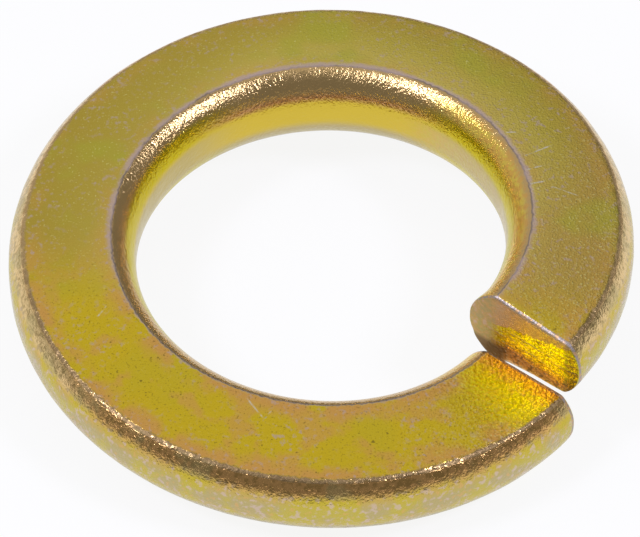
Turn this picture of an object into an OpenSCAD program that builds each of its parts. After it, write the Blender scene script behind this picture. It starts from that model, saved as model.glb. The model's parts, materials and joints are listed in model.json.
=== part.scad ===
// Spring lock washer for an M10 bolt: one left-hand turn of keystone wire, cut through and sprung open.
// The bore's axis is Z. The lower end's underside touches Z = 0 and the other end is raised.

/* [Ring] */
// Diameter of the bore
bore_d = 10.3; // [8:0.1:13]
// Width of the wire, from the bore to the outer wall
wire_w = 3.56; // [2.8:0.02:4.4]
// Thickness of the wire at its bore side, which coiling thickens
bore_side_t = 2.6; // [2:0.05:3.2]
// Thickness of the wire at its outer side, which coiling thins
outer_side_t = 2.02; // [1.6:0.02:2.4]

/* [Coil] */
// Height that the coil climbs from its lower end to its raised end
coil_rise = 2.05; // [0.6:0.05:3]
// Steps of the coil round its turn
coil_steps = 120; // [60:4:160]

/* [Wire edges] */
// Reach of the bore-side rounding across the flat
bore_round_w = 0.69; // [0.4:0.01:0.9]
// Height of the straight wall between the two bore-side roundings
bore_wall_h = 0.24; // [0.1:0.02:0.6]
// Sweep of the bore-side rounding; at 90 it would run into the flat with no crease
bore_round_sweep = 71; // [35:1:90]
// Reach of the outer rounding across the flat
outer_round_w = 0.43; // [0.3:0.01:0.8]
// Height of the straight wall between the two outer roundings
outer_wall_h = 0.16; // [0.1:0.02:0.6]
// Sweep of the outer rounding, which meets the flat at a sharper crease
outer_round_sweep = 46; // [35:1:90]
// Facets of each rounding
round_steps = 5; // [3:1:7]

/* [Cut] */
// Direction of the raised end's face, counterclockwise from +X
cut_direction = -36; // [-180:1:180]
// Distance by which that face passes the axis
cut_offset = 0.12; // [0:0.01:0.6]
// Gap between the two ends at the outer wall
gap_outer = 0.1; // [0.05:0.01:1]
// Gap between the two ends at the bore
gap_bore = 0.3; // [0.1:0.01:1.2]
// Roll-over that shearing leaves on the upper and lower edges of each end
end_roll = 0.1; // [0.05:0.01:0.4]
// Roll-over on the bore-side edge of each end
end_roll_bore = 0.05; // [0.02:0.01:0.4]
// Roll-over on the outer edge of each end
end_roll_outer = 0.05; // [0.02:0.01:0.4]
// Further roll-over of the raised end's lower edge, where the metal tore away
under_roll = 0.3; // [0.05:0.01:0.5]
// Width of the lobe at the bore side that kept its lower edge
lobe_w = 1; // [1:0.05:1.6]

/* [Hidden] */

bore_r = bore_d / 2;
outer_r = bore_r + wire_w;
// The bulge of the wire into the bore, which the bore's true cylinder trims
bore_trim = 0.03;
wire_r = bore_r - bore_trim;
// The end with the larger roll-over sets how far back from the cut the rolled stretch reaches
roll_reach = max(end_roll, end_roll_bore, end_roll_outer, under_roll);
roll_steps = 4;
// Distance across which the torn edge rises beside the lobe
lobe_step = 0.15;

// The vertical plane of each end's face: its direction and its distance from the axis
raised_plane = [cut_direction, cut_offset];
gap_slope = atan((gap_bore - gap_outer) / wire_w);
lower_distance = (cut_offset - gap_bore) * cos(gap_slope) - bore_r * sin(gap_slope);
lower_plane = [cut_direction + gap_slope + 360, lower_distance];

// A rounding is part of an ellipse, from the wall at q = 0 to the crease at q = 1. This gives its
// reach across the flat and its rise from the wall, as shares of the whole.
function round_point(sweep, q) = [(1 - cos(q * sweep)) / (1 - cos(sweep)), sin(q * sweep) / sin(sweep)];

// Height of the flat at a distance across the wire
function flat_height(across) =
    let (share = (across - bore_round_w) / (outer_r - outer_round_w - wire_r - bore_round_w))
    (bore_side_t + (outer_side_t - bore_side_t) * share) / 2;

// The upper half of the section, from the bore wall over the flat to the outer wall, as [radius, height]
function half_section() =
    let (bore_rise = (bore_side_t - bore_wall_h) / 2)
    let (outer_rise = (outer_side_t - outer_wall_h) / 2)
    concat(
        [for (i = [0:round_steps])
            let (p = round_point(bore_round_sweep, i / round_steps))
            [wire_r + p[0] * bore_round_w, bore_wall_h / 2 + p[1] * bore_rise]],
        [for (across = [lobe_w, lobe_w + lobe_step]) [wire_r + across, flat_height(across)]],
        [for (i = [round_steps:-1:0])
            let (p = round_point(outer_round_sweep, i / round_steps))
            [outer_r - p[0] * outer_round_w, outer_wall_h / 2 + p[1] * outer_rise]]
    );

upper = half_section();
section = concat(upper, [for (i = [len(upper) - 1:-1:0]) [upper[i][0], -upper[i][1]]]);
corners = len(section);

// The section drawn in by the roll-over, where share is 1 at the cut face and 0 past the rolled stretch.
// under is the further roll-over of the lower edge, beside the lobe.
function rolled(p, share, under) =
    let (across = (p[0] - wire_r) / (outer_r - wire_r))
    let (up = p[1] / (bore_side_t / 2))
    let (torn = min(1, max(0, (p[0] - wire_r - lobe_w) / lobe_step)) * (1 - across))
    [
        p[0] + share * (end_roll_bore * (1 - across) - end_roll_outer * across),
        p[1] - share * (end_roll * up + under * torn * min(up, 0))
    ];

// Share of the roll-over at a distance from the cut face, as a quarter round
function roll_share(distance) =
    let (back = max(0, 1 - distance / roll_reach))
    1 - sqrt(1 - back * back);

// Places of the sections along the turn, from 0 at the raised end to 1 at the lower end
turn_length = PI * (bore_r + outer_r);
rolled_places = [for (i = [0:roll_steps]) roll_reach * (1 - cos(90 * i / roll_steps)) / turn_length];
rolled_end = rolled_places[roll_steps];
even_places = [for (i = [1:coil_steps - 1]) rolled_end + (1 - 2 * rolled_end) * i / coil_steps];
places = concat(rolled_places, even_places, [for (i = [roll_steps:-1:0]) 1 - rolled_places[i]]);

// A point of the section where it stands along the turn. Each section lies in a vertical plane, and
// the planes fan from the raised end's face round to the lower end's face.
function coil_point(p, place) =
    let (direction = raised_plane[0] + (lower_plane[0] - raised_plane[0]) * place)
    let (distance = raised_plane[1] + (lower_plane[1] - raised_plane[1]) * place)
    let (under = place < 0.5 ? under_roll : 0)
    let (q = rolled(p, roll_share(min(place, 1 - place) * turn_length), under))
    let (angle = direction + asin(distance / q[0]))
    [q[0] * cos(angle), q[0] * sin(angle), q[1] + coil_rise * (1 - place)];

coil_points = [for (place = places) for (p = section) coil_point(p, place)];
// Height of the lowest point, which comes to stand on Z = 0
coil_foot = min([for (p = coil_points) p[2]]);

module coil() {
    last = len(places) - 1;
    sides = [for (i = [0:last - 1]) for (j = [0:corners - 1])
        let (a = i * corners + j)
        let (b = i * corners + (j + 1) % corners)
        each [[a, a + corners, b], [b, a + corners, b + corners]]];
    raised_face = [for (j = [0:corners - 1]) j];
    lower_face = [for (j = [corners - 1:-1:0]) last * corners + j];
    translate([0, 0, -coil_foot])
        polyhedron(coil_points, concat(sides, [raised_face, lower_face]), convexity = 8);
}

module bore() {
    translate([0, 0, -1]) cylinder(h = bore_side_t + coil_rise + 2, d = bore_d, $fn = 180);
}

module washer() {
    color("#b39a3c") difference() {
        coil();
        bore();
    }
}

washer();
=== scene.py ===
"""A spring lock washer of yellow zinc-plated steel, on a pale floor in soft studio light."""

import json
import math

import bmesh
import bpy
from bpy.props import FloatProperty, FloatVectorProperty, IntProperty, PointerProperty
from mathutils import Matrix, Vector, noise


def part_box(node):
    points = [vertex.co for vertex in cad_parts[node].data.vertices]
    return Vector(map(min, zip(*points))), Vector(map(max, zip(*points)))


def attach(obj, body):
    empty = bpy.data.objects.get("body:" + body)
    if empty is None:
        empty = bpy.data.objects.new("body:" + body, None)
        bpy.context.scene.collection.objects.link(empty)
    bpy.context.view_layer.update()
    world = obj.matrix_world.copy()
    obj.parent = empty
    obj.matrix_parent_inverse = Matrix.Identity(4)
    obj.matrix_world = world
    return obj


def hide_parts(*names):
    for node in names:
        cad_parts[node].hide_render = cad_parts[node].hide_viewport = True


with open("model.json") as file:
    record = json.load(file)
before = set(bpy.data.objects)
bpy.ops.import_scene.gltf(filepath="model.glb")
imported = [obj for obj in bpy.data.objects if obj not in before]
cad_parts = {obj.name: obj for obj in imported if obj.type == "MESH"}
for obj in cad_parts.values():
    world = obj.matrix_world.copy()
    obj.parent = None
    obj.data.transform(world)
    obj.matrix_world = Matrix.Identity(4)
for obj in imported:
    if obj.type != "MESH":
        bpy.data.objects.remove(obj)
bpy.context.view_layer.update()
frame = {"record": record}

bl_info = {
    "name": "Spring lock washer",
    "version": (1, 0, 0),
    "blender": (4, 5, 0),
    "location": "3D View > Sidebar > Lock washer",
    "description": "Builds a yellow zinc-plated spring lock washer and the stage it lies on",
    "category": "Add Mesh",
}

MM = 0.001
BORE = next(m for m in frame["record"]["mounts"] if m["name"] == "bore")
BORE_RADIUS = BORE["dims"]["r_mm"] * MM
TOP_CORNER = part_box("washer")[1]


def linear(hex_colour):
    """An sRGB hex colour as linear red, green and blue."""
    parts = [int(hex_colour[i : i + 2], 16) / 255 for i in (1, 3, 5)]
    return tuple(p / 12.92 if p <= 0.04045 else ((p + 0.055) / 1.055) ** 2.4 for p in parts)


def length_property(name, description, mm, low, high):
    """A length given in millimetres, as a property in metres."""
    return FloatProperty(
        name=name,
        description=description,
        default=mm * MM,
        min=low * MM,
        max=high * MM,
        subtype="DISTANCE",
        unit="LENGTH",
        precision=5,
    )


def angle_property(name, description, degrees, low, high):
    """An angle given in degrees."""
    return FloatProperty(
        name=name,
        description=description,
        default=math.radians(degrees),
        min=math.radians(low),
        max=math.radians(high),
        subtype="ANGLE",
        unit="ROTATION",
    )


def colour_property(name, description, hex_colour):
    """A colour given as sRGB hex."""
    return FloatVectorProperty(
        name=name,
        description=description,
        default=linear(hex_colour),
        min=0,
        max=1,
        size=3,
        subtype="COLOR",
    )


class WasherSizes(bpy.types.PropertyGroup):
    """The washer's sizes. Those of the bore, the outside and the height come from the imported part."""

    bore_r: length_property("Bore radius", "Radius of the bore", BORE_RADIUS / MM, 3, 8)
    outer_r: length_property("Outer radius", "Radius of the outer wall", TOP_CORNER.x / MM, 6, 12)
    height: length_property("Height", "Free height of the sprung washer", TOP_CORNER.z / MM, 2, 8)
    bore_side_t: length_property("Bore side", "Thickness of the wire at the bore", 2.6, 1, 4)
    outer_side_t: length_property("Outer side", "Thickness of the wire outside", 2.02, 1, 4)
    bore_round_w: length_property("Bore rounding", "Reach of the bore-side rounding", 0.69, 0.2, 1)
    bore_wall_h: length_property("Bore wall", "Height of the wall between the roundings", 0.24, 0, 1)
    bore_sweep: angle_property("Bore sweep", "Sweep of the bore-side rounding", 71, 20, 90)
    outer_round_w: length_property("Outer rounding", "Reach of the outer rounding", 0.43, 0.2, 1)
    outer_wall_h: length_property("Outer wall", "Height of the wall between the roundings", 0.16, 0, 1)
    outer_sweep: angle_property("Outer sweep", "Sweep of the outer rounding", 46, 20, 90)
    crease: length_property("Crease", "Reach of the soft crease between flat and rounding", 0.07, 0, 0.2)
    cut_direction: angle_property("Cut", "Direction of the raised end's face", -36, -180, 180)
    cut_offset: length_property("Cut offset", "Distance by which the face passes the axis", 0.12, 0, 1)
    gap_outer: length_property("Gap outside", "Gap between the ends at the outer wall", 0.07, 0, 1)
    gap_bore: length_property("Gap at bore", "Gap between the ends at the bore", 0.3, 0, 1)
    lobe_w: length_property("Lobe", "Width of the lobe under the raised end, at the bore side", 1, 0.7, 1.6)
    turn_steps: IntProperty(
        name="Steps", description="Steps of the coil round its turn", default=560, min=60, max=900
    )


class WasherFinish(bpy.types.PropertyGroup):
    """The colours of the plating."""

    pale_gold: colour_property("Pale gold", "The flat's coat toward the bore", "#dfc866")
    gold: colour_property("Gold", "The flat's coat in its middle", "#d0bc50")
    brown_gold: colour_property("Brown gold", "The flat's coat toward the outside", "#c4ab46")
    deep_gold: colour_property("Deep gold", "The thicker coat on the near flats", "#e4c52e")
    olive: colour_property("Olive", "The greener patches of the coat", "#c2c044")
    bronze: colour_property("Bronze", "The browner coat toward the raised end", "#cda958")
    tan: colour_property("Tan", "The pinkish patches of the coat", "#e6ae5e")
    violet: colour_property("Violet", "The grey-violet scuffs", "#d3bab4")
    bare: colour_property("Bare zinc", "Scratches that reach the zinc", "#e8e0cc")
    thin: colour_property("Thin coat", "The thin coat on the bore-side rounding", "#cfae76")
    brown: colour_property("Brown coat", "The coat on the outer rounding", "#dcab6c")
    ochre: colour_property("Ochre", "The coat below the outer rounding", "#c6aa58")
    crease: colour_property("Crease", "The dark line along each crease", "#948478")
    wall: colour_property("Bore wall", "The coat on the bore wall", "#d3b842")
    amber: colour_property("Amber", "The edge of the bore wall's coat", "#bf9064")
    pale: colour_property("Pale coat", "The coat low on the walls", "#b9a975")
    straw: colour_property("Straw", "The light coat on the outer rounding at both sides", "#e0c690")
    # Painted light: a brighter gold on the bore's right rounding, standing in for the light that falls on it
    # from the left.
    bright_gold: colour_property("Bright gold", "The coat on the bore's right rounding", "#efd25a")
    lime: colour_property("Lime", "The yellow-green patches beside the roundings", "#c8b80c")
    # Painted glints: light specks where the grain, which also raises the relief, is highest.
    speck: colour_property("Speck", "The light specks on the flats", "#fbf0a4")
    # Dark marks on the flats, the outer rounding and a sheared face's outer edge. Where it follows the
    # grain, it is painted shade in the grain's hollows.
    pit: colour_property("Pit", "The dark pits on the flats", "#7c6a30")
    lemon: colour_property("Lemon", "The coat on the sheared faces", "#f6ea00")
    # Painted shade: a darker lemon in the hollows between the pebbles and wrinkles. It also darkens a
    # sheared face toward the bore side.
    valley_shade: colour_property("Valley", "The coat between the pebbles of a sheared face", "#b69010")
    orange: colour_property("Orange", "The lower band of a sheared face", "#e09a58")
    # Partly painted light: the torn band's orange, made much lighter than the coat, so that the band does
    # not render dark. It faces down toward the dark gap.
    ember: colour_property("Lower band", "The torn lower band of a sheared face", "#ffcc80")
    strip: colour_property("Rolled strip", "The rolled-over top of a sheared face", "#cca880")
    # Partly painted shade: a dark brown that draws the outer crease's dark line, stronger on the near side,
    # and paints the shade in the torn band's hollows and on the lobe under the raised end.
    umber: colour_property("Umber", "The outer crease, and the lobe under the raised end", "#917854")
    worn: colour_property("Worn rim", "The worn rim of a sheared face", "#a89e9c")


class StageSettings(bpy.types.PropertyGroup):
    """The floor, the light and the camera."""

    floor: colour_property("Floor", "Colour of the floor", "#fafafa")
    back_light: FloatProperty(
        name="Back light", description="Level of the room behind the washer", default=0.62, min=0, max=2
    )
    front_light: FloatProperty(
        name="Front light", description="Level of the room on the camera's side", default=0.26, min=0, max=2
    )
    box_light: FloatProperty(
        name="Soft boxes", description="Level of the two soft boxes", default=16.5, min=0, max=40
    )
    elevation: angle_property("Elevation", "Camera's height above the floor, as an angle", 48.798, 5, 90)
    roll: angle_property("Roll", "Camera's turn about its line of sight", 1.014, -20, 20)
    distance: length_property("Distance", "Camera's distance from the washer", 189.4, 50, 1000)
    lens: FloatProperty(
        name="Lens", description="Focal length on a sensor 36 mm wide", default=379.5, min=20, max=1000
    )


def add_node(tree, kind, inputs=(), **settings):
    """Adds a node with its settings, and sets or links its inputs, each a value or another node's output."""
    node = tree.nodes.new(kind)
    for name, value in settings.items():
        setattr(node, name, value)
    for key, value in dict(inputs).items():
        if isinstance(value, bpy.types.NodeSocket):
            tree.links.new(value, node.inputs[key])
        else:
            node.inputs[key].default_value = value
    return node


# The washer's shape

ROUND_STEPS = 10
CREASE_STEPS = 3
FLAT_STEPS = 16
END_STEPS = 8
SWELL_STEPS = 4
FACE_STEPS = 18
# How far shearing rolled the edges over: the raised end's, its upper edge's middle besides, both ends'
# at the bore and outside, and the lower end's
END_ROLL = 0.1 * MM
END_ROLL_BOW = 0.1 * MM
END_ROLL_SIDE = 0.03 * MM
LOWER_END_ROLL = 0.03 * MM
# How far back from the cut the roll-over reaches
ROLL_REACH = 0.2 * MM
# How far the metal tore away under the raised end, across what distance it does so beside the lobe, and
# how far back the sheared coat reaches there
UNDER_ROLL = 0.62 * MM
LOBE_STEP = 0.2 * MM
TORN_REACH = 0.4 * MM
# Toward the outside the raised end's lower edge stays sharp: from where on, and how soon it is wholly
# so, as shares of the wire's width
SHARP_FROM = 0.5
SHARP_WITHIN = 0.4
# How far the raised end swelled into the bore, and its lobe besides. Their heights are shares of half the
# wire's thickness, and their width is a share of the wire's.
SWELL = 0.15 * MM
SWELL_HEIGHTS = (-0.75, 0.85)
LOBE_SWELL = 0.1 * MM
LOBE_HEIGHTS = (-1.05, -0.45)
SWELL_WIDTH = 0.4
SWELL_REACH = 0.8 * MM
# Soft dents all over
DENT = 0.008 * MM
DENT_SIZE = 0.7 * MM


def rounding(sweep, steps):
    """Points of a rounding, from the wall to the crease, as shares of its reach and its rise."""
    angles = [sweep * i / steps for i in range(steps + 1)]
    return [((1 - math.cos(a)) / (1 - math.cos(sweep)), math.sin(a) / math.sin(sweep)) for a in angles]


def upper_outline(s):
    """The upper half of the wire's section, from the bore over the flat, as (across, height)."""
    width = s.outer_r - s.bore_r
    bore_rise = (s.bore_side_t - s.bore_wall_h) / 2
    outer_rise = (s.outer_side_t - s.outer_wall_h) / 2
    bore_side = [
        (p * s.bore_round_w, s.bore_wall_h / 2 + q * bore_rise)
        for p, q in rounding(s.bore_sweep, ROUND_STEPS)
    ]
    outer_side = [
        (width - p * s.outer_round_w, s.outer_wall_h / 2 + q * outer_rise)
        for p, q in rounding(s.outer_sweep, ROUND_STEPS)
    ]
    return bore_side + outer_side[::-1]


def band_at(across, s):
    """A point's band: 0 at the bore wall, 1 and 2 at the creases, 3 at the outer wall."""
    flat_w = s.outer_r - s.bore_r - s.bore_round_w - s.outer_round_w
    from_outside = s.outer_r - s.bore_r - across
    if across < s.bore_round_w:
        reach = max(across, 0) / s.bore_round_w * (1 - math.cos(s.bore_sweep))
        return math.acos(1 - reach) / s.bore_sweep
    if from_outside < s.outer_round_w:
        reach = max(from_outside, 0) / s.outer_round_w * (1 - math.cos(s.outer_sweep))
        return 3 - math.acos(1 - reach) / s.outer_sweep
    return 1 + (across - s.bore_round_w) / flat_w


def make_section(bm, s):
    """The closed outline of the section, with soft creases, standing in the XZ plane."""
    upper = upper_outline(s)
    points = upper + [(p, -q) for p, q in reversed(upper)]
    verts = [bm.verts.new((s.bore_r + p, 0, q)) for p, q in points]
    for a, b in zip(verts, verts[1:] + verts[:1]):
        bm.edges.new((a, b))
    last = len(verts) - 1
    crease_at = (ROUND_STEPS, ROUND_STEPS + 1, last - ROUND_STEPS - 1, last - ROUND_STEPS)
    creases = [verts[i] for i in crease_at]
    bmesh.ops.bevel(
        bm,
        geom=creases,
        offset=s.crease,
        offset_type="OFFSET",
        affect="VERTICES",
        segments=CREASE_STEPS,
        profile=0.5,
        material=-1,
    )
    flats = [e for e in bm.edges if e.calc_length() > (s.outer_r - s.bore_r) / 2]
    bmesh.ops.subdivide_edges(bm, edges=flats, cuts=FLAT_STEPS - 1)


def places_round_turn(s, turn_length):
    """Shares of the turn at which the sections stand. They crowd together at the ends, for the roll-over."""
    quarter = [math.pi / 2 * i / END_STEPS for i in range(END_STEPS + 1)]
    near = [ROLL_REACH * (1 - math.cos(a)) / turn_length for a in quarter]
    swell_step = (SWELL_REACH - ROLL_REACH) / SWELL_STEPS
    near += [(ROLL_REACH + swell_step * i) / turn_length for i in range(1, SWELL_STEPS + 1)]
    middle_steps = s.turn_steps - 2 * len(near) + 1
    middle = [near[-1] + (1 - 2 * near[-1]) * i / middle_steps for i in range(1, middle_steps)]
    return near + middle + [1 - n for n in reversed(near)]


def hump(value, low, high):
    """A smooth hump that is 0 at low and at high, and 1 halfway."""
    share = (value - low) / (high - low)
    return 4 * share * (1 - share) if 0 < share < 1 else 0.0


def step(share):
    """A smooth step from 0 at 0 to 1 at 1."""
    share = min(max(share, 0.0), 1.0)
    return share * share * (3 - 2 * share)


def end_shape(across, height, distance, raised, s):
    """The section's point drawn in by the shear's roll-over, at a distance from the cut face."""
    width = s.outer_r - s.bore_r
    u = across / width
    up = height / (s.bore_side_t / 2)
    back = max(0.0, 1 - distance / ROLL_REACH)
    roll = 1 - math.sqrt(1 - back * back)
    sharp = step((u - SHARP_FROM) / SHARP_WITHIN) if up < 0 else 0.0
    across += roll * END_ROLL_SIDE * (1 - 2 * u)
    if not raised:
        height -= roll * LOWER_END_ROLL * up
    else:
        torn = step((across - s.lobe_w) / LOBE_STEP) * (1 - u) ** 2
        height -= roll * (END_ROLL * up * (1 - sharp) + END_ROLL_BOW * max(up, 0) * hump(u, 0, 1))
        height += roll * UNDER_ROLL * torn * max(-up, 0)
        swell = SWELL * hump(up, *SWELL_HEIGHTS) + LOBE_SWELL * hump(up, *LOBE_HEIGHTS)
        across -= swell * step(1 - distance / SWELL_REACH) * max(0.0, 1 - u / SWELL_WIDTH) ** 2
    return across, height


def cut_planes(s):
    """Direction and distance from the axis of the raised end's face and of the lower end's face."""
    width = s.outer_r - s.bore_r
    slope = math.atan((s.gap_bore - s.gap_outer) / width)
    lower = (s.cut_offset - s.gap_bore) * math.cos(slope) - s.bore_r * math.sin(slope)
    return (s.cut_direction, s.cut_offset), (s.cut_direction + slope + math.tau, lower)


def make_washer(s):
    """The washer's mesh: the section spun into a coil, fanned out between the two cut faces."""
    bm = bmesh.new()
    wire = bm.verts.layers.float_vector.new("wire")
    cut = bm.verts.layers.float.new("cut")
    band = bm.verts.layers.float.new("band")
    make_section(bm, s)
    bm.verts.index_update()
    ring_size = len(bm.verts)
    for v in bm.verts:
        v[wire] = (0, max(v.co.x - s.bore_r, 0), v.co.z)
        v[band] = band_at(v[wire].y, s)
    turn_length = math.pi * (s.bore_r + s.outer_r)
    places = places_round_turn(s, turn_length)
    steps = len(places) - 1
    rise = s.height - s.bore_side_t
    # A full turn whose ends aren't merged, because they are the cut's two sides
    bmesh.ops.spin(
        bm,
        geom=bm.verts[:] + bm.edges[:],
        cent=(0, 0, 0),
        axis=(0, 0, 1),
        dvec=(0, 0, -rise / steps),
        angle=math.tau,
        steps=steps,
        use_merge=False,
        use_duplicate=False,
    )
    bm.verts.index_update()
    raised, lower = cut_planes(s)
    foot = s.bore_side_t / 2
    for v in bm.verts:
        place = places[v.index // ring_size]
        from_cut = min(place, 1 - place) * turn_length
        across, height = end_shape(v[wire].y, v[wire].z, from_cut, place < 0.5, s)
        radius = s.bore_r + across
        direction = raised[0] + (lower[0] - raised[0]) * place
        distance = raised[1] + (lower[1] - raised[1]) * place
        angle = direction + math.asin(distance / radius)
        v[wire] = (place * turn_length, v[wire].y, v[wire].z)
        # The sheared coat reaches further back from the face on the lower half than on the upper one
        torn = step(-v[wire].z / TORN_REACH)
        v[cut] = max(0.0, 1 - from_cut / (ROLL_REACH + (TORN_REACH - ROLL_REACH) * torn))
        v.co = (radius * math.cos(angle), radius * math.sin(angle), height + foot + rise * (1 - place))
        v.co *= 1 + noise.noise(v.co / DENT_SIZE) * DENT / s.outer_r
    close_ends(bm, wire, cut)
    bmesh.ops.recalc_face_normals(bm, faces=bm.faces)
    mesh = bpy.data.meshes.new("washer_coil")
    bm.to_mesh(mesh)
    bm.free()
    return mesh


def close_ends(bm, wire, cut):
    """Closes each end with a grid of faces between the upper and lower halves of its rim."""
    rims = [e for e in bm.edges if e.is_boundary]
    for end in (0, 1):
        rim = [e for e in rims if (e.verts[0][wire].x > MM) == bool(end)]
        upper = [e for e in rim if e.verts[0][wire].z > 0 and e.verts[1][wire].z > 0]
        lower = [e for e in rim if e.verts[0][wire].z < 0 and e.verts[1][wire].z < 0]
        bridge = bmesh.ops.bridge_loops(bm, edges=upper + lower)
        inner = [e for e in bridge["edges"] if e not in rim]
        uprights = [e for e in inner if e.verts[0][wire].z * e.verts[1][wire].z < 0]
        bmesh.ops.subdivide_edges(bm, edges=uprights, cuts=FACE_STEPS, use_grid_fill=True)
    many_sided = [f for f in bm.faces if len(f.verts) > 4]
    bmesh.ops.triangulate(bm, faces=many_sided, ngon_method="BEAUTY")


def finish_washer(sizes, colours):
    """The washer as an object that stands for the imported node."""
    mesh = make_washer(sizes)
    mesh.materials.append(chromate_steel(sizes, colours))
    for polygon in mesh.polygons:
        polygon.use_smooth = True
    washer = bpy.data.objects.new("washer_coil", mesh)
    bpy.context.scene.collection.objects.link(washer)
    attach(washer, "root")
    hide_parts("washer")
    return washer


# The washer's finish. Its patterns are in millimetres, on the object's own coordinates or the wire's. The
# real coat's grain and the torn metal's pebbles are finer, and are drawn coarse enough to show.

# Size in millimetres and detail of each noise
NOISES = {
    "drift": (2.4, 3),
    "patch": (0.9, 5),
    "dents": (0.4, 2),
    "scuff": (0.16, 4),
    "ragged": (0.15, 3),
    "grain": (0.06, 2),
}
# Noises drawn out across the wire: size, detail, and the scale of the wire's coordinates
DRAWN_OUT_NOISES = {
    "ridges": (0.1, 3, (1.0, 0.8, 0.8)),
    "wrinkles": (0.15, 1, (1.0, 0.25, 1.0)),
}
PEBBLE_MM = 0.09
# How far the borders between the bands waver, as a share of a band, and the border of the sheared coat
BAND_WAVER = 0.013
CUT_WAVER_MM = 1.2

# Depths of the relief, in millimetres
GRAIN_DEPTH = 0.012
DENT_DEPTH = 0.006
CREASE_DENT_DEPTH = 0.04
RIDGE_DEPTH = 0.019
PEBBLE_DEPTH = 0.016
WRINKLE_DEPTH = 0.045

# Scratches on the flat, each from one point to another in millimetres from the bore's axis
SCRATCHES = (
    ((5.59, 2.17), (6.43, 2.74)),
    ((5.10, 3.11), (5.45, 3.17)),
    ((5.62, 1.60), (6.27, 1.92)),
    ((5.71, 1.05), (6.26, 1.27)),
    ((6.34, 1.08), (7.18, 0.76)),
    ((-1.97, -5.70), (-1.46, -6.39)),
    ((-1.46, -6.39), (-1.25, -6.09)),
    ((-6.13, -3.05), (-5.87, -2.66)),
)
SCRATCH_MM = 0.035

# The coat across the section: bore wall 0, crease 1, flat, crease 2 and outer wall 3
BANDS = (
    (0.00, "wall"),
    (0.22, "wall"),
    (0.34, "amber"),
    (0.46, "thin"),
    (0.98, "thin"),
    (0.99, "crease"),
    (1.005, "crease"),
    (1.015, "violet"),
    (1.06, "pale_gold"),
    (1.50, "gold"),
    (1.88, "brown_gold"),
    (1.97, "brown_gold"),
    (1.995, "thin"),
    (2.04, "thin"),
    (2.08, "brown"),
    (2.36, "brown"),
    (2.60, "ochre"),
    (2.90, "pale"),
    (3.00, "pale"),
)
BAND_COUNT = 3

# Directions in plan toward the sides where the coat differs
SIDES = {"to_near": (-0.15, -0.98, 0), "to_cut": (0.93, -0.37, 0), "to_left": (-0.9, 0.4, 0)}

# Each row of the next tables names a value, the operation that gives it, and what goes in: numbers, or
# the names of earlier values. LINEAR and SMOOTHSTEP fade in from 0 to 1 between two values of a measure.

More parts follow.
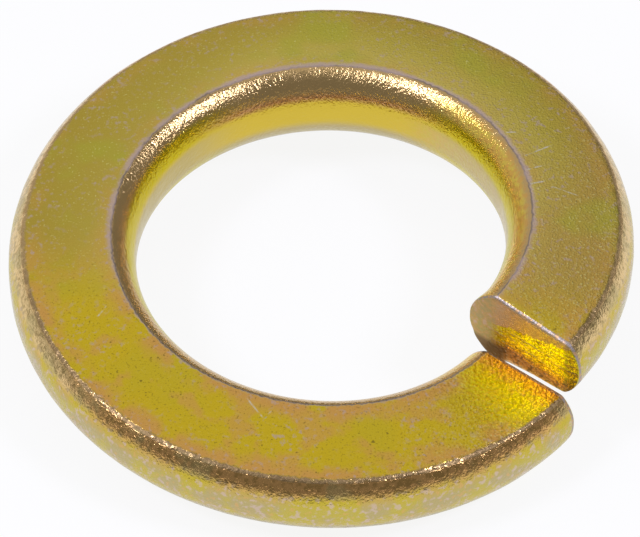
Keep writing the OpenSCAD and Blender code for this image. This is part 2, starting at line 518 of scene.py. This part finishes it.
ZONES = (
    # The flat, its parts beside the creases, and its near, raised and left sides
    ("from_middle", "SUBTRACT", "band", 1.5),
    ("from_middle", "ABSOLUTE", "from_middle"),
    ("flat", "LINEAR", "from_middle", 0.5, 0.47),
    ("beside", "SMOOTHSTEP", "from_middle", 0.2, 0.46),
    ("beside_creases", "MULTIPLY", "beside", "flat"),
    ("near_side", "SMOOTHSTEP", "to_near", 0.4, 4.6),
    ("far_side", "SUBTRACT", 1, "near_side"),
    ("near_flat", "MULTIPLY", "near_side", "flat"),
    ("far_flat", "MULTIPLY_ADD", "near_flat", -0.7, "flat"),
    ("near_creases", "MULTIPLY", "near_flat", "beside_creases"),
    ("far_creases", "MULTIPLY", "far_flat", "beside_creases"),
    ("raised_side", "SMOOTHSTEP", "to_cut", 4.0, 7.5),
    ("raised_flat", "MULTIPLY", "raised_side", "flat"),
    ("left_side", "SMOOTHSTEP", "to_left", 3.0, 7.0),
    # The left and right ends of the outside and of the bore
    ("sideways", "ABSOLUTE", "x"),
    ("outer_ends", "SMOOTHSTEP", "sideways", 6.0, 7.4),
    ("inner_ends", "SMOOTHSTEP", "sideways", 1.6, 4.6),
    ("bore_side", "LINEAR", "band", 0.96, 0.9),
    ("bore_ends", "MULTIPLY", "inner_ends", "bore_side"),
    ("right_half", "GREATER_THAN", "x", 0),
    ("bore_right", "MULTIPLY", "right_half", "bore_ends"),
    # The bore's rounding, the bright line below it and the wall
    ("bore_gold", "SMOOTHSTEP", "band", 0.95, 0.75),
    ("line", "MULTIPLY_ADD", "x", 0.01, "band"),
    ("line", "SUBTRACT", "line", 0.38),
    ("line", "ABSOLUTE", "line"),
    ("bore_line", "SMOOTHSTEP", "line", 0.27, 0.12),
    ("bore_wall", "SMOOTHSTEP", "band", 0.28, 0.12),
    # The creases, the outer rounding and the walls below it
    ("off_crease", "SUBTRACT", "band", 1.02),
    ("off_crease", "ABSOLUTE", "off_crease"),
    ("inner_line", "LINEAR", "off_crease", 0.06, 0.02),
    ("inner_crease", "MULTIPLY", "inner_line", "far_side"),
    ("off_crease", "SUBTRACT", "band", 2.04),
    ("off_crease", "ABSOLUTE", "off_crease"),
    ("outer_crease", "LINEAR", "off_crease", 0.07, 0.045),
    # The outer crease's dark line, partly painted shade: full on the near side, about a third as strong
    # elsewhere.
    ("dark_share", "MULTIPLY_ADD", "near_side", 0.65, 0.35),
    ("dark_crease", "MULTIPLY", "outer_crease", "dark_share"),
    ("off_rounding", "SUBTRACT", "band", 2.3),
    ("off_rounding", "ABSOLUTE", "off_rounding"),
    ("outer_rounding", "LINEAR", "off_rounding", 0.3, 0.15),
    ("outside", "SMOOTHSTEP", "band", 2.3, 2.6),
    ("low", "SMOOTHSTEP", "height", -0.1, -0.7),
    # The cut faces, their worn rim, and the flat close to the cut at the lower end
    ("face", "SMOOTHSTEP", "cut", 0.82, 0.95),
    ("rim", "SMOOTHSTEP", "cut", 0.48, 0.62),
    ("rim", "SUBTRACT", "rim", "face"),
    ("from_end", "SUBTRACT", "turn", "along"),
    ("from_end", "MULTIPLY_ADD", "ragged", -CUT_WAVER_MM, "from_end"),
    ("near_end", "SMOOTHSTEP", "from_end", 3.0, 0.8),
    ("near_cut", "MULTIPLY", "near_end", "flat"),
    # On a sheared face, the bore's side is smooth, and so is the strip above the lemon area, which opens
    # like a fan toward the outside
    ("nose", "LINEAR", "across", 0.95, 0.4),
    ("fan", "MULTIPLY_ADD", "across", 0.31, 0.05),
    ("fan", "DIVIDE", "height", "fan"),
    ("fan", "MULTIPLY_ADD", "ragged", 0.5, "fan"),
    ("strip", "SMOOTHSTEP", "fan", 1.06, 1.22),
    ("smooth_face", "MAXIMUM", "nose", "strip"),
    ("smooth_face", "MULTIPLY", "smooth_face", "face"),
    ("rough_face", "SUBTRACT", "face", "smooth_face"),
    ("rough_cut", "MAXIMUM", "near_cut", "rough_face"),
    ("low_edge", "MULTIPLY_ADD", "ragged", 0.6, "height"),
    ("torn_band", "LINEAR", "low_edge", -0.1, -0.4),
    # The low part of a sheared face, where the lobe under the raised end is painted in shade.
    ("in_lobe", "SMOOTHSTEP", "height", -0.55, -0.8),
)

MARKS = (
    # Scuffs gather in some areas and beside the creases
    ("scuffed", "LINEAR", "drift", 0.55, 0.4),
    ("scuffed", "MAXIMUM", "scuffed", "beside_creases"),
    ("scuffed", "MULTIPLY", "scuffed", "flat"),
    ("breaks", "LINEAR", "scuff", 0.35, 0.55),
    ("dull_crease", "MULTIPLY", "outer_crease", "breaks"),
    # The hollows between the pebbles, where shade is painted into the colour.
    ("valley_shade", "LINEAR", "pebbles", 0.4, 0.75),
)

ROUGHNESS = (
    ("satin", "LINEAR", "patch", 0.35, 0.65),
    ("roughness", "MULTIPLY_ADD", "satin", 0.08, 0.14),
    ("roughness", "MULTIPLY_ADD", "rim", 0.25, "roughness"),
    ("roughness", "MULTIPLY_ADD", "smooth_face", 0.3, "roughness"),
    ("roughness", "MULTIPLY_ADD", "rough_cut", 0.12, "roughness"),
    ("roughness", "MULTIPLY_ADD", "dull_crease", 0.35, "roughness"),
)

RELIEF = (
    ("relief", "MULTIPLY", "grain", GRAIN_DEPTH),
    # Dents, twice as deep on the roundings, and deepest at the outer crease
    ("curved", "SUBTRACT", 1, "flat"),
    ("depth", "MULTIPLY_ADD", "curved", DENT_DEPTH, DENT_DEPTH),
    ("depth", "MULTIPLY_ADD", "outer_crease", CREASE_DENT_DEPTH, "depth"),
    ("centred", "SUBTRACT", "dents", 0.5),
    ("relief", "MULTIPLY_ADD", "centred", "depth", "relief"),
    # Ridges on the roundings
    ("off_face", "SUBTRACT", 1, "face"),
    ("depth", "MULTIPLY", "curved", "off_face"),
    ("depth", "MULTIPLY", "depth", RIDGE_DEPTH),
    ("centred", "SUBTRACT", "ridges", 0.5),
    ("relief", "MULTIPLY_ADD", "centred", "depth", "relief"),
    # Pebbles where the metal tore, on the face and close to the cut
    ("depth", "MULTIPLY", "rough_cut", -PEBBLE_DEPTH),
    ("centred", "SUBTRACT", "pebbles", 0.4),
    ("relief", "MULTIPLY_ADD", "centred", "depth", "relief"),
    # Wrinkles on the lemon area of a sheared face
    ("depth", "LINEAR", "height", -0.7, -0.3),
    ("depth", "MULTIPLY", "depth", "rough_face"),
    ("depth", "MULTIPLY", "depth", WRINKLE_DEPTH),
    ("centred", "SUBTRACT", "wrinkles", 0.5),
    ("relief", "MULTIPLY_ADD", "centred", "depth", "relief"),
)

# Each row of the next tables is a layer of colour: its colour, the pattern that it follows, the pattern's
# values at which it starts and is full, the zone that it keeps to, and its greatest share.

COAT_LAYERS = (
    ("bronze", "raised_side", 0.0, 1.0, "flat", 0.8),
    ("brown_gold", "left_side", 0.0, 1.0, "flat", 0.7),
    ("deep_gold", "near_flat", 0.0, 1.0, "flat", 1.0),
    ("olive", "drift", 0.5, 0.66, "far_flat", 0.6),
    ("tan", "patch", 0.42, 0.6, "far_creases", 0.3),
    ("tan", "patch", 0.34, 0.5, "near_creases", 0.95),
    ("tan", "patch", 0.5, 0.62, "near_flat", 0.6),
    ("straw", "outer_ends", 0.0, 1.0, "outer_rounding", 0.8),
    ("pale", "low", 0.0, 1.0, "everywhere", 1.0),
    ("violet", "patch", 0.42, 0.58, "inner_crease", 0.7),
    # Painted light on the bore's right rounding.
    ("bright_gold", "bore_right", 0.3, 1.0, "bore_gold", 0.9),
    ("tan", "scuff", 0.42, 0.58, "bore_right", 0.6),
    ("lime", "bore_ends", 0.0, 1.0, "bore_line", 0.9),
    ("pale", "bore_ends", 0.0, 1.0, "bore_wall", 0.8),
    ("lime", "patch", 0.42, 0.58, "outside", 0.55),
    ("violet", "scuff", 0.52, 0.66, "outside", 0.6),
    ("brown", "scuff", 0.42, 0.3, "outside", 0.5),
    # The outer crease's dark line, partly painted shade, broken by the scuffs.
    ("umber", "scuff", 0.36, 0.46, "dark_crease", 0.95),
    ("pit", "scuff", 0.45, 0.6, "outer_rounding", 0.45),
    ("pale", "patch", 0.5, 0.64, "outer_rounding", 0.5),
    # Painted shade in the grain's hollows on the near flat.
    ("pit", "grain", 0.42, 0.25, "near_flat", 0.6),
    # Painted glints on the grain's tops, on the far and raised flats.
    ("speck", "grain", 0.6, 0.78, "far_flat", 0.6),
    ("speck", "grain", 0.54, 0.7, "raised_flat", 0.4),
    ("violet", "scuff", 0.54, 0.7, "scuffed", 0.6),
    ("pit", "scuff", 0.32, 0.26, "near_flat", 0.7),
    ("lemon", "from_end", 1.6, 0.4, "flat", 0.75),
    ("orange", "from_end", 0.3, -0.4, "flat", 0.8),
    # Painted shade between the pebbles close to the cut.
    ("valley_shade", "valley_shade", 0.0, 1.0, "near_cut", 0.35),
)

SCRATCH_LAYER = (("bare", "scratch", 0.0, 1.0, "breaks", 0.8),)

SHEARED_LAYERS = (
    # A sheared face darker toward the bore side.
    ("valley_shade", "across", 2.0, 0.9, "everywhere", 0.6),
    ("orange", "low_edge", 0.0, -0.5, "everywhere", 0.7),
    # The torn lower band, its orange lightened as painted light.
    ("ember", "low_edge", -0.3, -0.6, "everywhere", 0.85),
    # Painted shade in the hollows of the wrinkles.
    ("valley_shade", "wrinkles", 0.46, 0.34, "everywhere", 0.7),
    # Painted shade in the hollows between the torn band's pebbles.
    ("umber", "valley_shade", 0.3, 1.0, "torn_band", 0.75),
    ("strip", "strip", 0.0, 1.0, "everywhere", 1.0),
    ("pale", "across", 1.4, 2.8, "strip", 0.6),
    ("pit", "across", 2.95, 3.3, "everywhere", 0.6),
    ("pale", "across", 0.85, 0.5, "everywhere", 0.85),
    ("brown", "scuff", 0.4, 0.6, "smooth_face", 0.5),
    ("violet", "scuff", 0.56, 0.7, "smooth_face", 0.5),
    # Painted shade on the lobe under the raised end, at the bore side.
    ("umber", "across", 1.3, 0.9, "in_lobe", 1.0),
)

RIM_LAYERS = (
    ("worn", "rim", 0.0, 0.8, "everywhere", 0.9),
    ("brown", "scuff", 0.48, 0.6, "rim", 0.7),
)


def find_places(tree, sizes):
    """Where a point lies, in millimetres and across the section, and the noises there, by name."""
    place = add_node(tree, "ShaderNodeTexCoord")
    mm = add_node(
        tree, "ShaderNodeVectorMath", {0: place.outputs["Object"], "Scale": 1 / MM}, operation="SCALE"
    )
    axes = add_node(tree, "ShaderNodeSeparateXYZ", {0: mm.outputs[0]})
    wire = add_node(tree, "ShaderNodeAttribute", attribute_name="wire")
    wire = add_node(
        tree, "ShaderNodeVectorMath", {0: wire.outputs["Vector"], "Scale": 1 / MM}, operation="SCALE"
    )
    section = add_node(tree, "ShaderNodeSeparateXYZ", {0: wire.outputs[0]})
    cut = add_node(tree, "ShaderNodeAttribute", attribute_name="cut")
    values = {
        "everywhere": 1.0,
        "mm": mm.outputs[0],
        "x": axes.outputs["X"],
        "along": section.outputs["X"],
        "across": section.outputs["Y"],
        "height": section.outputs["Z"],
        "cut": cut.outputs["Fac"],
        "turn": math.pi * (sizes.bore_r + sizes.outer_r) / MM,
    }
    for name, direction in SIDES.items():
        side = add_node(
            tree, "ShaderNodeVectorMath", {0: mm.outputs[0], 1: direction}, operation="DOT_PRODUCT"
        )
        values[name] = side.outputs["Value"]
    for name, (size, detail) in NOISES.items():
        noise_there = add_node(
            tree, "ShaderNodeTexNoise", {"Vector": mm.outputs[0], "Scale": 1 / size, "Detail": detail}
        )
        values[name] = noise_there.outputs["Fac"]
    for name, (size, detail, scale) in DRAWN_OUT_NOISES.items():
        drawn = add_node(tree, "ShaderNodeVectorMath", {0: wire.outputs[0], 1: scale}, operation="MULTIPLY")
        noise_there = add_node(
            tree, "ShaderNodeTexNoise", {"Vector": drawn.outputs[0], "Scale": 1 / size, "Detail": detail}
        )
        values[name] = noise_there.outputs["Fac"]
    pebbles = add_node(
        tree,
        "ShaderNodeTexVoronoi",
        {"Vector": mm.outputs[0], "Scale": 1 / PEBBLE_MM, "Smoothness": 0.5},
        feature="SMOOTH_F1",
    )
    values["pebbles"] = pebbles.outputs["Distance"]

    # The band across the section, with its borders made a little ragged
    band = add_node(tree, "ShaderNodeAttribute", attribute_name="band")
    waver = add_node(
        tree,
        "ShaderNodeMapRange",
        {
            "Value": values["ragged"],
            "From Min": 0.3,
            "From Max": 0.7,
            "To Min": -BAND_WAVER,
            "To Max": BAND_WAVER,
        },
    )
    band = add_node(tree, "ShaderNodeMath", {0: band.outputs["Fac"], 1: waver.outputs[0]}, operation="ADD")
    values["band"] = band.outputs[0]
    return values


def work_out(tree, values, rows):
    """Adds named values, each worked out by its row from numbers and the values so far."""
    for name, operation, *terms in rows:
        terms = [values[term] if isinstance(term, str) else term for term in terms]
        if operation in ("LINEAR", "SMOOTHSTEP"):
            limits = dict(zip(("Value", "From Min", "From Max"), terms))
            result = add_node(tree, "ShaderNodeMapRange", limits, interpolation_type=operation)
        else:
            result = add_node(tree, "ShaderNodeMath", dict(enumerate(terms)), operation=operation)
        values[name] = result.outputs[0]


def lay_colours(tree, values, coat, layers, colours):
    """Lays each layer's colour over the coat, where its pattern passes its limits inside its zone."""
    for colour, pattern, start, full, zone, most in layers:
        amount = add_node(
            tree,
            "ShaderNodeMapRange",
            {"Value": values[pattern], "From Min": start, "From Max": full, "To Max": most},
            interpolation_type="SMOOTHSTEP",
        )
        amount = add_node(
            tree, "ShaderNodeMath", {0: amount.outputs[0], 1: values[zone]}, operation="MULTIPLY"
        )
        colour = (*getattr(colours, colour), 1)
        mixed = add_node(tree, "ShaderNodeMix", {0: amount.outputs[0], 6: coat, 7: colour}, data_type="RGBA")
        coat = mixed.outputs[2]
    return coat


def scratch_mark(tree, mm, start, end):
    """A weight of 1 along a thin straight scratch on the flat, and 0 elsewhere."""
    direction = (Vector(end) - Vector(start)).normalized()
    from_start = add_node(tree, "ShaderNodeVectorMath", {0: mm, 1: (*start, 0)}, operation="SUBTRACT")
    along = add_node(
        tree, "ShaderNodeVectorMath", {0: from_start.outputs[0], 1: (*direction, 0)}, operation="DOT_PRODUCT"
    )
    beside = add_node(
        tree,
        "ShaderNodeVectorMath",
        {0: from_start.outputs[0], 1: (-direction.y, direction.x, 0)},
        operation="DOT_PRODUCT",
    )
    half = (Vector(end) - Vector(start)).length / 2
    mark = {"along": along.outputs["Value"], "beside": beside.outputs["Value"]}
    rows = (
        ("beyond", "SUBTRACT", "along", half),
        ("beyond", "ABSOLUTE", "beyond"),
        ("within_length", "LINEAR", "beyond", half, half * 0.6),
        ("beside", "ABSOLUTE", "beside"),
        ("within_width", "LINEAR", "beside", SCRATCH_MM, SCRATCH_MM * 0.3),
        ("scratch", "MULTIPLY", "within_width", "within_length"),
    )
    work_out(tree, mark, rows)
    return mark["scratch"]


def band_colours(tree, values, colours):
    """The coat's colours in bands across the section."""
    share = add_node(tree, "ShaderNodeMath", {0: values["band"], 1: 1 / BAND_COUNT}, operation="MULTIPLY")
    ramp = add_node(tree, "ShaderNodeValToRGB", {0: share.outputs[0]})
    elements = ramp.color_ramp.elements
    elements.remove(elements[1])
    for position, colour in BANDS:
        element = elements.new(position / BAND_COUNT) if position else elements[0]
        element.color = (*getattr(colours, colour), 1)
    return ramp.outputs[0]


def coat_colour(tree, values, colours):
    """The colour of the coat: bands across the section, then patches, marks and the cut's own colours."""
    coat = lay_colours(tree, values, band_colours(tree, values, colours), COAT_LAYERS, colours)
    for start, end in SCRATCHES:
        values["scratch"] = scratch_mark(tree, values["mm"], start, end)
        coat = lay_colours(tree, values, coat, SCRATCH_LAYER, colours)
    sheared = lay_colours(tree, values, (*colours.lemon, 1), SHEARED_LAYERS, colours)
    mixed = add_node(tree, "ShaderNodeMix", {0: values["face"], 6: coat, 7: sheared}, data_type="RGBA")
    return lay_colours(tree, values, mixed.outputs[2], RIM_LAYERS, colours)


def chromate_steel(sizes, colours):
    """Yellow chromate over zinc plating."""
    # A satin metal, whose hue drifts from gold to olive, tan and violet with the coat's thickness
    material = bpy.data.materials.new("yellow_chromate_zinc")
    material.use_nodes = True
    tree = material.node_tree
    tree.nodes.clear()
    values = find_places(tree, sizes)
    for rows in (ZONES, MARKS, ROUGHNESS, RELIEF):
        work_out(tree, values, rows)
    bump = add_node(tree, "ShaderNodeBump", {"Height": values["relief"], "Strength": 1.0, "Distance": MM})
    shader = add_node(
        tree,
        "ShaderNodeBsdfPrincipled",
        {
            "Base Color": coat_colour(tree, values, colours),
            "Metallic": 1.0,
            "Roughness": values["roughness"],
            "Normal": bump.outputs[0],
        },
    )
    add_node(tree, "ShaderNodeOutputMaterial", {"Surface": shader.outputs[0]})
    return material


# The stage

FLOOR_SIZE = 3.0
FLOOR_GLOW = 0.88
# The point that the camera looks at, and how far the picture's middle lies beside it in the picture
TARGET = Vector((0, 0, 1.0453 * MM))
TARGET_ACROSS = -0.0026 * MM
TARGET_UP = 0.5366 * MM
# The room's light end, and how far toward it the light starts to rise and is full
LIGHT_END = (-0.6, 0.45, 1)
LIGHT_START = 0.6
LIGHT_FULL = 0.9
# The soft boxes. Their light is a little blue, so that the coat's highlights don't go too yellow.
BOX_SIZE = 0.037
BOX_DISTANCE = 0.15
BOX_COLOUR = (0.96, 0.98, 1.3)
BOX_DIRECTIONS = {"left": (-0.576, -0.227, 0.785), "right": (0.589, -0.214, 0.78)}


def floor_material(settings):
    """Matt white paper. Part of it glows for the camera and in the metal, which lightens the shadow."""
    material = bpy.data.materials.new("matt_white_paper")
    material.use_nodes = True
    tree = material.node_tree
    tree.nodes.clear()
    path = add_node(tree, "ShaderNodeLightPath")
    seen = add_node(
        tree,
        "ShaderNodeMath",
        {0: path.outputs["Is Camera Ray"], 1: path.outputs["Is Glossy Ray"]},
        operation="MAXIMUM",
    )
    seen = add_node(
        tree,
        "ShaderNodeMath",
        {0: seen.outputs[0], 1: path.outputs["Is Transmission Ray"]},
        operation="MAXIMUM",
    )
    share = add_node(tree, "ShaderNodeMath", {0: seen.outputs[0], 1: FLOOR_GLOW}, operation="MULTIPLY")
    paper = add_node(tree, "ShaderNodeBsdfDiffuse", {"Color": (*settings.floor, 1)})
    glow = add_node(tree, "ShaderNodeEmission", {"Color": (1, 1, 1, 1), "Strength": 1.0})
    mixed = add_node(
        tree, "ShaderNodeMixShader", {0: share.outputs[0], 1: paper.outputs[0], 2: glow.outputs[0]}
    )
    add_node(tree, "ShaderNodeOutputMaterial", {"Surface": mixed.outputs[0]})
    return material


def make_floor(settings):
    """A large flat floor at the height that the washer stands on."""
    bm = bmesh.new()
    bmesh.ops.create_grid(bm, x_segments=1, y_segments=1, size=FLOOR_SIZE / 2)
    mesh = bpy.data.meshes.new("floor")
    bm.to_mesh(mesh)
    bm.free()
    mesh.materials.append(floor_material(settings))
    floor = bpy.data.objects.new("floor", mesh)
    bpy.context.scene.collection.objects.link(floor)


def make_room(settings):
    """A plain grey room with a light ceiling, which comes down lower behind the washer and to its left."""
    world = bpy.data.worlds.new("studio_room")
    bpy.context.scene.world = world
    world.use_nodes = True
    tree = world.node_tree
    tree.nodes.clear()
    place = add_node(tree, "ShaderNodeTexCoord")
    ceiling = add_node(
        tree,
        "ShaderNodeVectorMath",
        {0: place.outputs["Generated"], 1: LIGHT_END},
        operation="DOT_PRODUCT",
    )
    level = add_node(
        tree,
        "ShaderNodeMapRange",
        {
            "Value": ceiling.outputs["Value"],
            "From Min": LIGHT_START,
            "From Max": LIGHT_FULL,
            "To Min": settings.front_light,
            "To Max": settings.back_light,
        },
        interpolation_type="SMOOTHSTEP",
    )
    light = add_node(tree, "ShaderNodeBackground", {"Color": (1, 1, 1, 1), "Strength": level.outputs[0]})
    add_node(tree, "ShaderNodeOutputWorld", {"Surface": light.outputs[0]})


def make_soft_box(name, direction, level):
    """A square soft box that faces the washer. Its power gives its face the level asked for."""
    lamp = bpy.data.lights.new(name, "AREA")
    lamp.shape = "SQUARE"
    lamp.size = BOX_SIZE
    lamp.color = BOX_COLOUR
    lamp.energy = level * math.pi * BOX_SIZE * BOX_SIZE
    box = bpy.data.objects.new(name, lamp)
    away = Vector(direction).normalized()
    box.location = away * BOX_DISTANCE
    box.rotation_euler = away.to_track_quat("Z", "Y").to_euler()
    bpy.context.scene.collection.objects.link(box)


def make_camera(settings):
    """The camera at the photograph's angle, looking along +Y and down."""
    ahead = Vector((0, math.cos(settings.elevation), -math.sin(settings.elevation)))
    up = Vector((0, math.sin(settings.elevation), math.cos(settings.elevation)))
    across = Vector((1, 0, 0))
    turned_across = across * math.cos(settings.roll) + up * math.sin(settings.roll)
    turned_up = up * math.cos(settings.roll) - across * math.sin(settings.roll)
    target = TARGET + turned_across * TARGET_ACROSS + turned_up * TARGET_UP
    data = bpy.data.cameras.new("camera")
    data.sensor_width = 36
    data.sensor_fit = "HORIZONTAL"
    data.lens = settings.lens
    data.clip_start = 0.01
    data.clip_end = 10
    camera = bpy.data.objects.new("camera", data)
    turn = Matrix((turned_across, turned_up, -ahead)).transposed().to_4x4()
    camera.matrix_world = Matrix.Translation(target - ahead * settings.distance) @ turn
    bpy.context.scene.collection.objects.link(camera)
    bpy.context.scene.camera = camera


class LOCKWASHER_OT_washer(bpy.types.Operator):
    """Build the washer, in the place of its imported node"""

    bl_idname = "lock_washer.washer"
    bl_label = "Washer"

    def execute(self, context):
        finish_washer(context.scene.washer_sizes, context.scene.washer_finish)
        return {"FINISHED"}


class LOCKWASHER_OT_stage(bpy.types.Operator):
    """Build the floor, the light and the camera"""

    bl_idname = "lock_washer.stage"
    bl_label = "Stage"

    def execute(self, context):
        settings = context.scene.washer_stage
        make_floor(settings)
        make_room(settings)
        for side, direction in BOX_DIRECTIONS.items():
            make_soft_box("soft_box_" + side, direction, settings.box_light)
        make_camera(settings)
        context.scene.view_settings.view_transform = "Standard"
        return {"FINISHED"}


class LOCKWASHER_PT_sidebar(bpy.types.Panel):
    """Lists what the washer is built from"""

    bl_idname = "LOCKWASHER_PT_sidebar"
    bl_label = "Lock washer"
    bl_space_type = "VIEW_3D"
    bl_region_type = "UI"
    bl_category = "Lock washer"

    def draw(self, context):
        for group in (context.scene.washer_sizes, context.scene.washer_finish, context.scene.washer_stage):
            box = self.layout.box()
            for name in group.__annotations__:
                box.prop(group, name)
        self.layout.operator("lock_washer.washer")
        self.layout.operator("lock_washer.stage")


CLASSES = (
    WasherSizes,
    WasherFinish,
    StageSettings,
    LOCKWASHER_OT_washer,
    LOCKWASHER_OT_stage,
    LOCKWASHER_PT_sidebar,
)


def register():
    for cls in CLASSES:
        bpy.utils.register_class(cls)
    bpy.types.Scene.washer_sizes = PointerProperty(type=WasherSizes)
    bpy.types.Scene.washer_finish = PointerProperty(type=WasherFinish)
    bpy.types.Scene.washer_stage = PointerProperty(type=StageSettings)


def unregister():
    del bpy.types.Scene.washer_stage
    del bpy.types.Scene.washer_finish
    del bpy.types.Scene.washer_sizes
    for cls in reversed(CLASSES):
        bpy.utils.unregister_class(cls)


def main():
    register()
    bpy.ops.lock_washer.washer()
    bpy.ops.lock_washer.stage()
    bpy.context.view_layer.update()


if __name__ == "__main__":
    main()
